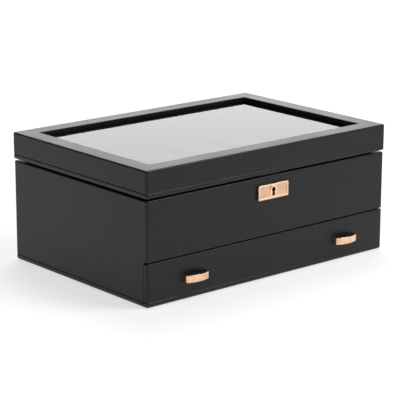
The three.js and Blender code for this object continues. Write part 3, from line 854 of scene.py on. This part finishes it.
def keyhole_outline(grow, steps=20):
    """A round eye over a flared skirt, made wider all round by grow."""
    radius = 2.7 * MM
    neck = 1.6 * MM
    flare = 2.8 * MM + grow
    bottom = PLATE_LOW.z + 2.3 * MM - grow
    start = math.asin(neck / radius)
    points = [(-flare, bottom), (flare, bottom)]
    for step in range(steps + 1):
        angle = -math.pi / 2 + start + (2 * math.pi - 2 * start) * step / steps
        points.append(((radius + grow) * math.cos(angle), EYE_Z + (radius + grow) * math.sin(angle)))
    return points


def keyhole_cutter():
    """The key's way in, through plate and leather."""
    mesh = flat_cutting("keyhole", [keyhole_outline(0)], 10 * MM, 0.01 * MM, PLATE_LOW.y - 1 * MM)
    cutter = bpy.data.objects.new("keyhole", mesh)
    bpy.context.scene.collection.objects.link(cutter)
    return cutter


def rounded_outline(low, high, radius, steps=6):
    """A rectangle in the XZ plane with round corners."""
    half_x = (high.x - low.x) / 2
    half_z = (high.z - low.z) / 2
    middle = (high.z + low.z) / 2
    return [(x, z + middle) for x, z in plan_loop(half_x, half_z, radius, [], [], steps)]


def arched_outline(half_width, bottom, crown, steps=18):
    """An upright rectangle under a round arch."""
    points = [(-half_width, bottom), (half_width, bottom)]
    for step in range(steps + 1):
        angle = math.pi * step / steps
        points.append((half_width * math.cos(angle), crown + half_width * math.sin(angle)))
    return points


def lock_plate():
    """The plate, its raised border and the arched rim round the keyhole."""
    face_y = PLATE_LOW.y + 0.6 * MM
    thickness = PLATE_HIGH.y - face_y
    outline = rounded_outline(PLATE_LOW, PLATE_HIGH, 0.9 * MM)
    plate = flat_cutting("lock_plate", [outline, keyhole_outline(0)], thickness, 0.3 * MM, face_y)
    # The plate face takes the darker satin copy: painted shade inside the raised border, over a real satin
    # finish.
    piece = add_piece("lock_plate", plate, "case", "satin_shaded_rose_gold")
    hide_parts("escutcheon")
    arch = arched_outline(4.9 * MM, PLATE_LOW.z + 0.5 * MM, EYE_Z)
    rim = flat_cutting("keyhole_rim", [arch, keyhole_outline(0.25 * MM)], 1.2 * MM, 0.4 * MM, PLATE_LOW.y)
    add_piece("keyhole_rim", rim, "case", "polished_rose_gold")
    inner_low = PLATE_LOW + Vector((1.5, 0, 1.4)) * MM
    inner_high = PLATE_HIGH - Vector((1.5, 0, 1.4)) * MM
    inside = rounded_outline(inner_low, inner_high, 0.5 * MM)
    border = flat_cutting("plate_border", [outline, inside], 1.2 * MM, 0.4 * MM, PLATE_LOW.y + 0.1 * MM)
    add_piece("plate_border", border, "case", "polished_rose_gold")


# ---------------------------------------------------------------- handles


def strap_path(half_length, leg, bow, bend):
    """Plan of a strap's middle line: (place, outward direction) from foot to foot."""
    radius = (half_length**2 + bow**2) / (2 * bow)
    centre = radius - leg - bow
    reach = math.asin((half_length - bend) / radius)
    corner = centre - math.sqrt(radius**2 - half_length**2)
    side = Vector((-half_length, corner + bend))
    front = Vector((-radius * math.sin(reach), centre - radius * math.cos(reach)))
    knee = Vector((-half_length, corner))
    points = [Vector((-half_length, 0)), Vector((-half_length, side.y / 2))]
    for step in range(9):
        share = step / 8
        points.append(side.lerp(knee, share).lerp(knee.lerp(front, share), share))
    for step in range(1, 13):
        angle = reach * (step / 12 - 1)
        points.append(Vector((radius * math.sin(angle), centre - radius * math.cos(angle))))
    points += [Vector((-point.x, point.y)) for point in reversed(points[:-1])]
    path = []
    for index, point in enumerate(points):
        before = points[max(index - 1, 0)]
        after = points[min(index + 1, len(points) - 1)]
        along = (after - before).normalized()
        path.append((point, Vector((along.y, -along.x))))
    return path


def strap_section(thickness, height, edge):
    """A flat bar's section with rounded edges: (outwards, up) points."""
    section = []
    for corner, (x_sign, z_sign) in enumerate(((1, 1), (-1, 1), (-1, -1), (1, -1))):
        flat = (x_sign * thickness / 2, z_sign * (height / 2 - edge - 0.3 * MM))
        bend = []
        for step in range(4):
            angle = math.radians(90 * corner + 30 * step)
            along = x_sign * (thickness / 2 - edge) + edge * math.cos(angle)
            up = z_sign * (height / 2 - edge) + edge * math.sin(angle)
            bend.append((along, up))
        section += [flat, *bend] if corner % 2 == 0 else [*bend, flat]
    return section


def handle(side):
    """A strap on two legs, bowed in front, with its feet on the drawer front."""
    metal = settings()[2]
    low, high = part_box(f"handle_{side}")
    centre = (low + high) / 2
    half = metal.handle_thickness / 2
    section = strap_section(metal.handle_thickness, high.z - low.z, metal.handle_edge)
    depth = high.y - low.y - half
    path = strap_path((high.x - low.x) / 2 - half, depth - metal.handle_bow, metal.handle_bow, 2 * MM)
    bm = bmesh.new()
    rings = []
    for spot, outward in path:
        ring = []
        for along, up in section:
            place = spot + outward * along
            ring.append(bm.verts.new((centre.x + place.x, high.y + place.y, centre.z + up)))
        rings.append(ring)
    for first, second in zip(rings, rings[1:]):
        for index, vert in enumerate(first):
            after = (index + 1) % len(first)
            bm.faces.new((vert, first[after], second[after], second[index]))
    bm.faces.new(reversed(rings[0]))
    bm.faces.new(rings[-1])
    bmesh.ops.recalc_face_normals(bm, faces=bm.faces)
    mesh = mesh_from(bm, f"handle_strap_{side}")
    piece = add_piece(f"handle_strap_{side}", mesh, "drawer", "polished_rose_gold")
    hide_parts(f"handle_{side}")


# ---------------------------------------------------------------- screws


def screw_mesh():
    """A pan head with a driver slot over a plain shank, pointing to -Y."""
    profile = [(0.0, -7.0), (0.5, -6.3), (1.2, -4.8), (1.2, 0.0), (2.3, 0.0)]
    profile += [(2.3, 0.35), (2.15, 0.52), (1.8, 0.66), (1.2, 0.76), (0.0, 0.8)]
    bm = bmesh.new()
    chain = [bm.verts.new((radius * MM, along * MM, 0)) for radius, along in profile]
    edges = [bm.edges.new(pair) for pair in zip(chain, chain[1:])]
    bmesh.ops.spin(
        bm,
        geom=chain + edges,
        cent=(0, 0, 0),
        axis=(0, 1, 0),
        angle=2 * math.pi,
        steps=28,
        use_merge=True,
    )
    bmesh.ops.remove_doubles(bm, verts=bm.verts, dist=0.005 * MM)
    bmesh.ops.recalc_face_normals(bm, faces=bm.faces)
    mesh = mesh_from(bm, "wood_screw")
    holder = bpy.data.objects.new("screw_blank", mesh)
    bpy.context.scene.collection.objects.link(holder)
    carve(holder, block("slot", (-3 * MM, 0.4 * MM, -0.28 * MM), (3 * MM, 2 * MM, 0.28 * MM)))
    mesh = holder.data
    bpy.data.objects.remove(holder)
    return mesh


def screws():
    """The eight hinge screws, each with its slot turned a little differently."""
    blank = screw_mesh()
    for number, name in enumerate(SCREW_NODES):
        node = f"hinge_screw_{name}"
        low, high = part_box(node)
        centre = (low + high) / 2
        head_y = high.y - 0.7 * MM
        mesh = blank.copy()
        turn = Matrix.Rotation(math.radians(35 + 67 * number), 4, "Y")
        mesh.transform(Matrix.Translation((centre.x, head_y, centre.z)) @ turn)
        body = "case" if name.startswith("lower") else "lid"
        piece = add_piece(f"wood_screw_{name}", mesh, body, "brushed_steel")
        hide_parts(node)


# ---------------------------------------------------------------- pillows


def pillow_blank(number, size):
    """A slack pillow before it is stuffed: a rounded block, uneven in its own way."""
    bm = bmesh.new()
    bmesh.ops.create_cube(bm, size=1.0)
    bmesh.ops.subdivide_edges(bm, edges=bm.edges, cuts=7, use_grid_fill=True)
    offset = Vector((3.1 * number, 1.7 * number, 0.9 * number))
    for vert in bm.verts:
        unit = vert.co * 2
        round_off = Vector((unit.x, unit.y * 0.96, unit.z)).normalized() * unit.length
        shaped = unit.lerp(round_off, 0.22)
        shaped.z = max(shaped.z, -0.96)
        ripple = noise.noise(shaped * 1.6 + offset) * 0.05
        shaped *= 1 + ripple
        vert.co = Vector((shaped.x * size.x, shaped.y * size.y, shaped.z * size.z)) / 2
    mesh = bpy.data.meshes.new(f"pillow_blank_{number}")
    bm.to_mesh(mesh)
    bm.free()
    blank = bpy.data.objects.new(f"pillow_blank_{number}", mesh)
    bpy.context.scene.collection.objects.link(blank)
    remesh = blank.modifiers.new("Even", "REMESH")
    remesh.mode = "VOXEL"
    remesh.voxel_size = 3.6 * MM
    apply_modifiers(blank)
    return blank


def stuff(blank):
    """Inflates a slack pillow as cloth, and caps how far any point may swell."""
    interior = settings()[1]
    scene = bpy.context.scene
    start = [vert.co.copy() for vert in blank.data.vertices]
    cloth = blank.modifiers.new("Cloth", "CLOTH")
    cloth.settings.quality = 6
    cloth.settings.mass = 0.25
    cloth.settings.tension_stiffness = 12
    cloth.settings.compression_stiffness = 12
    cloth.settings.bending_stiffness = 0.4
    cloth.settings.use_pressure = True
    cloth.settings.uniform_pressure_force = interior.pillow_pressure
    cloth.settings.effector_weights.gravity = 0
    cloth.point_cache.frame_start = 1
    cloth.point_cache.frame_end = 20
    for number in range(1, 21):
        scene.frame_set(number)
    graph = bpy.context.evaluated_depsgraph_get()
    swollen = [vert.co.copy() for vert in blank.evaluated_get(graph).data.vertices]
    blank.modifiers.clear()
    scene.frame_set(1)
    for vert, before, after in zip(blank.data.vertices, start, swollen):
        step = after - before
        if step.length > interior.pillow_swell:
            step *= interior.pillow_swell / step.length
        vert.co = before + step


def fit_to(mesh, size):
    """Scales a mesh to a size, standing centred on the floor plane."""
    low = Vector([min(vert.co[axis] for vert in mesh.vertices) for axis in range(3)])
    high = Vector([max(vert.co[axis] for vert in mesh.vertices) for axis in range(3)])
    middle = (low + high) / 2
    for vert in mesh.vertices:
        for axis in range(3):
            share = (vert.co[axis] - middle[axis]) / (high[axis] - low[axis])
            vert.co[axis] = share * size[axis]
        vert.co.z = max(vert.co.z + size.z / 2, 0.0)


def press_seams(mesh, size, depth):
    """Draws the cloth in where the end panels are sewn on."""
    for vert in mesh.vertices:
        for sign in (-1, 1):
            away = (vert.co.y - sign * size.y * 0.385) / (1.6 * MM)
            pull = depth * math.exp(-away * away)
            middle = Vector((0, vert.co.y, size.z / 2))
            inward = middle - vert.co
            inward.normalize()
            vert.co += inward * pull


def seam_rope(mesh, y, radius, name):
    """Piping that follows the pillow's own outline at one place along it."""
    bm = bmesh.new()
    bm.from_mesh(mesh)
    cutting = bmesh.ops.bisect_plane(
        bm,
        geom=bm.verts[:] + bm.edges[:] + bm.faces[:],
        plane_co=(0, y, 0),
        plane_no=(0, 1, 0),
    )
    loop = [item for item in cutting["geom_cut"] if isinstance(item, bmesh.types.BMVert)]
    middle = sum((vert.co for vert in loop), Vector()) / len(loop)
    loop.sort(key=lambda vert: math.atan2(vert.co.z - middle.z, vert.co.x - middle.x))
    line = [vert.co.copy() for vert in loop]
    bm.free()
    curve = bpy.data.curves.new(name, "CURVE")
    curve.dimensions = "3D"
    curve.bevel_depth = radius
    curve.bevel_resolution = 3
    spline = curve.splines.new("POLY")
    spline.points.add(len(line) - 1)
    for point, co in zip(spline.points, line):
        outward = (co - middle).normalized()
        point.co = (*(co + outward * radius * 0.3), 1)
    spline.use_cyclic_u = True
    holder = bpy.data.objects.new(name, curve)
    bpy.context.scene.collection.objects.link(holder)
    graph = bpy.context.evaluated_depsgraph_get()
    rope = bpy.data.meshes.new_from_object(holder.evaluated_get(graph))
    bpy.data.objects.remove(holder)
    return rope


def sewn_pillow(number, size):
    """One kind of pillow: its stuffed cover and its two rings of piping."""
    blank = pillow_blank(number, Vector((size.x * 0.88, size.y * 0.92, size.z * 0.84)))
    stuff(blank)
    fit_to(blank.data, size)
    press_seams(blank.data, size, 0.9 * MM)
    subdivide = blank.modifiers.new("Fine", "SUBSURF")
    subdivide.levels = 1
    subdivide.render_levels = 1
    apply_modifiers(blank, 180.0)
    cover = blank.data
    bpy.data.objects.remove(blank)
    bm = bmesh.new()
    for sign in (-1, 1):
        bm.from_mesh(seam_rope(cover, sign * size.y * 0.385, 0.75 * MM, f"piping_{number}"))
    piping = bpy.data.meshes.new(f"piping_{number}")
    bm.to_mesh(piping)
    bm.free()
    shade(piping, 60.0)
    return cover, piping


def pillows():
    """Ten pillows from a few kinds, turned end for end in turn so that no two neighbours match."""
    interior = settings()[1]
    low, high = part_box(PILLOW_NODES[0])
    size = high - low
    kinds = [sewn_pillow(number + 1, size) for number in range(interior.pillow_kinds)]
    dice = random.Random(11)
    for index, node in enumerate(PILLOW_NODES):
        low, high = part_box(node)
        base = Vector(((low.x + high.x) / 2, (low.y + high.y) / 2, low.z))
        turn = Matrix.Rotation(math.pi * (index % 2) + math.radians(dice.uniform(-1.2, 1.2)), 4, "Z")
        place = Matrix.Translation(base) @ turn
        cover, piping = (mesh.copy() for mesh in kinds[(index * 2 + index // 5) % len(kinds)])
        for mesh in (cover, piping):
            mesh.transform(place)
        pillow = add_piece(f"pillow_{index + 1}", cover, "case", "cushion_suede")
        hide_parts(node)
        add_piece(f"pillow_piping_{index + 1}", piping, "case", "lining_suede")


# ---------------------------------------------------------------- drawer lining


def drawer_tray():
    """The drawer's suede lining: a floor with low padded walls, turned up all round."""
    low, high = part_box("drawer_lining")
    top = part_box("drawer_divider")[1].z + 2 * MM
    half_x = (high.x - low.x) / 2
    half_y = (high.y - low.y) / 2
    profile = [(6 * MM, high.z)]
    profile += arc(3.2 * MM, high.z + 2 * MM, 2 * MM, -90, 0, 4)
    profile += [(1.1 * MM, top - 1 * MM), (0.8 * MM, top), (0.1 * MM, top), (0.05 * MM, low.z + 0.1 * MM)]
    profile += [(6 * MM, low.z + 0.1 * MM)]
    corner = 1.2 * MM
    stops_x = even_stops(half_x - 14 * MM, 30 * MM)
    stops_y = even_stops(half_y - 14 * MM, 30 * MM)
    bm = ring_sheet(half_x, half_y, corner, profile, stops_x, stops_y)
    bmesh.ops.holes_fill(bm, edges=[edge for edge in bm.edges if edge.is_boundary], sides=0)
    bmesh.ops.recalc_face_normals(bm, faces=bm.faces)
    bmesh.ops.translate(bm, verts=bm.verts, vec=(0, (low.y + high.y) / 2, 0))
    mesh = mesh_from(bm, "drawer_tray", 50.0)
    piece = add_piece("drawer_tray", mesh, "drawer", "lining_suede")
    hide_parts("drawer_lining")


# ---------------------------------------------------------------- stage

CAMERA_PLACE = Vector((-1.2218, -1.4308, 0.5643))
CAMERA_AIM = Vector((0.6271, 0.7350, -0.2578))
CAMERA_ROLL = 0.14  # degrees
CAMERA_LENS = 157.2
FLOOR_REACH = 9.0
WORLD_STRENGTH = 0.12

# Name, place, what it is aimed at, width, height and brightness.
SOFTBOXES = (
    ("back_softbox", (1.45, 2.73, 0.86), (0, 0, 0.5), 4.4, 1.12, 2.36),
    ("back_strip", (1.45, 2.75, 0.16), (0, 0, 0.16), 4.4, 0.26, 1.25),
    ("top_softbox", (0, 0, 3.2), (0, 0, 0), 3.2, 3.2, 1.1),
    ("key_back", (0.95, 1.15, 2.7), (0, 0, 0.1), 1.4, 1.4, 5.5),
    ("key_front", (1.4, -1.6, 2.3), (0, 0, 0.1), 1.4, 1.4, 9.0),
)


def look_through(camera, place, forward, roll):
    """Points the camera along a direction, turned a little about it."""
    camera.location = place
    camera.rotation_mode = "QUATERNION"
    aim = forward.to_track_quat("-Z", "Y")
    camera.rotation_quaternion = aim @ Matrix.Rotation(math.radians(roll), 3, "Z").to_quaternion()


def softbox(name, place, target, width, height, brightness):
    """A rectangular area light aimed at a point; brightness 1 looks white."""
    light = bpy.data.lights.new(name, "AREA")
    light.shape = "RECTANGLE"
    light.size = width
    light.size_y = height
    light.energy = brightness * math.pi * width * height
    lamp = bpy.data.objects.new(name, light)
    bpy.context.scene.collection.objects.link(lamp)
    lamp.location = place
    lamp.rotation_mode = "QUATERNION"
    lamp.rotation_quaternion = (Vector(target) - Vector(place)).to_track_quat("-Z", "Y")


def pale_floor():
    """A wide, flat floor."""
    bm = bmesh.new()
    bmesh.ops.create_grid(bm, x_segments=24, y_segments=24, size=FLOOR_REACH)
    mesh = mesh_from(bm, "floor")
    floor = bpy.data.objects.new("floor", mesh)
    bpy.context.scene.collection.objects.link(floor)
    mesh.materials.append(material("pale_floor"))


def studio_world():
    """An even, pale surrounding light."""
    scene = bpy.context.scene
    world = bpy.data.worlds.new("studio")
    world.use_nodes = True
    background = world.node_tree.nodes["Background"]
    background.inputs["Color"].default_value = (1.0, 1.0, 1.0, 1.0)
    background.inputs["Strength"].default_value = WORLD_STRENGTH
    scene.world = world


def stage():
    """Camera, floor and lights."""
    scene = bpy.context.scene
    camera = bpy.data.objects.new("camera", bpy.data.cameras.new("camera"))
    scene.collection.objects.link(camera)
    camera.data.sensor_width = 36.0
    camera.data.lens = CAMERA_LENS
    camera.data.clip_start = 0.05
    camera.data.clip_end = 60.0
    look_through(camera, CAMERA_PLACE, CAMERA_AIM, CAMERA_ROLL)
    scene.camera = camera
    scene.view_settings.view_transform = "Standard"
    scene.view_settings.look = "None"
    pale_floor()
    studio_world()
    for lamp in SOFTBOXES:
        softbox(*lamp)


# ---------------------------------------------------------------- operators


class WatchBoxOperator:
    """Shared behaviour: build a piece and report it finished."""

    bl_options = {"REGISTER", "UNDO"}

    def execute(self, context):
        self.build()
        return {"FINISHED"}


class WATCHBOX_OT_stage(WatchBoxOperator, bpy.types.Operator):
    """Add the camera, the floor and the lights"""

    bl_idname = "watchbox.stage"
    bl_label = "Stage"

    def build(self):
        stage()


class WATCHBOX_OT_boards(WatchBoxOperator, bpy.types.Operator):
    """Finish the wooden boards, the drawer box and the felt under the base"""

    bl_idname = "watchbox.boards"
    bl_label = "Boards"

    def build(self):
        for node in ("base_board", "left_wall", "right_wall", "back_wall", "front_wall", "deck_board"):
            dress_node(node, "fibreboard")
        dress_node("drawer_front_board", "black_paper")
        for node in ("lid_frame", "drawer_side_left", "drawer_side_right", "drawer_back", "drawer_floor"):
            dress_node(node, "black_paper", 0.5 * MM, 3)
        dress_node("base_pad", "pressed_felt", 0.4 * MM)


class WATCHBOX_OT_leather(WatchBoxOperator, bpy.types.Operator):
    """Cover the case, the lid and the drawer front in leather"""

    bl_idname = "watchbox.leather"
    bl_label = "Leather"

    def build(self):
        case_leather()
        lid_leather()
        drawer_leather()


class WATCHBOX_OT_glass(WatchBoxOperator, bpy.types.Operator):
    """Glaze the window in the lid"""

    bl_idname = "watchbox.glass"
    bl_label = "Glass"

    def build(self):
        dress_node("glass_pane", "clear_glass", 0.3 * MM)


class WATCHBOX_OT_linings(WatchBoxOperator, bpy.types.Operator):
    """Line the compartment, the lid and the drawer in suede"""

    bl_idname = "watchbox.linings"
    bl_label = "Linings"

    def build(self):
        for node in LINING_NODES + DIVIDER_NODES:
            dress_node(node, "lining_suede", 0.7 * MM, 3)
        dress_node("lid_retainer", "lining_suede", 0.5 * MM, 3)
        dress_node("drawer_divider", "lining_suede", 0.7 * MM, 3)
        drawer_tray()


class WATCHBOX_OT_pillows(WatchBoxOperator, bpy.types.Operator):
    """Sew and stuff the watch pillows"""

    bl_idname = "watchbox.pillows"
    bl_label = "Pillows"

    def build(self):
        pillows()


class WATCHBOX_OT_lock(WatchBoxOperator, bpy.types.Operator):
    """Fit the lock, its plate and the lid's strike"""

    bl_idname = "watchbox.lock"
    bl_label = "Lock"

    def build(self):
        lock_plate()
        for node in ("lock_case", "lock_bolt", "strike_plate"):
            dress_node(node, "dark_steel", 0.15 * MM)


class WATCHBOX_OT_handles(WatchBoxOperator, bpy.types.Operator):
    """Fix the two strap handles to the drawer front"""

    bl_idname = "watchbox.handles"
    bl_label = "Handles"

    def build(self):
        for side in SIDES:
            handle(side)


class WATCHBOX_OT_hinges(WatchBoxOperator, bpy.types.Operator):
    """Finish the hinges and drive their screws"""

    bl_idname = "watchbox.hinges"
    bl_label = "Hinges"

    def build(self):
        for side in SIDES:
            for piece in ("leaf_lower", "leaf_upper", "pin"):
                dress_node(f"hinge_{piece}_{side}", "brushed_steel", 0.15 * MM)
        screws()


class WATCHBOX_PT_panel(bpy.types.Panel):
    """Lists the pieces and their settings"""

    bl_idname = "WATCHBOX_PT_panel"
    bl_label = "Watch Box"
    bl_space_type = "VIEW_3D"
    bl_region_type = "UI"
    bl_category = "Watch Box"

    def draw(self, context):
        layout = self.layout
        for group in ("leather_settings", "interior_settings", "metal_settings"):
            values = getattr(context.scene, group)
            box = layout.box()
            for name in values.__annotations__:
                box.prop(values, name)
        for operator in OPERATORS:
            layout.operator(operator.bl_idname)


OPERATORS = (
    WATCHBOX_OT_stage,
    WATCHBOX_OT_boards,
    WATCHBOX_OT_leather,
    WATCHBOX_OT_glass,
    WATCHBOX_OT_linings,
    WATCHBOX_OT_pillows,
    WATCHBOX_OT_lock,
    WATCHBOX_OT_handles,
    WATCHBOX_OT_hinges,
)
GROUPS = {
    "leather_settings": LeatherSettings,
    "interior_settings": InteriorSettings,
    "metal_settings": MetalSettings,
}


def register():
    """Registers the settings, the operators and the panel."""
    for name, group in GROUPS.items():
        bpy.utils.register_class(group)
        setattr(bpy.types.Scene, name, PointerProperty(type=group))
    for operator in OPERATORS:
        bpy.utils.register_class(operator)
    bpy.utils.register_class(WATCHBOX_PT_panel)


def unregister():
    """Removes what register added."""
    bpy.utils.unregister_class(WATCHBOX_PT_panel)
    for operator in reversed(OPERATORS):
        bpy.utils.unregister_class(operator)
    for name, group in GROUPS.items():
        delattr(bpy.types.Scene, name)
        bpy.utils.unregister_class(group)


def main():
    """Builds every piece in order."""
    register()
    bpy.ops.watchbox.stage()
    bpy.ops.watchbox.boards()
    bpy.ops.watchbox.leather()
    bpy.ops.watchbox.glass()
    bpy.ops.watchbox.linings()
    bpy.ops.watchbox.pillows()
    bpy.ops.watchbox.lock()
    bpy.ops.watchbox.handles()
    bpy.ops.watchbox.hinges()


if __name__ == "__main__":
    main()
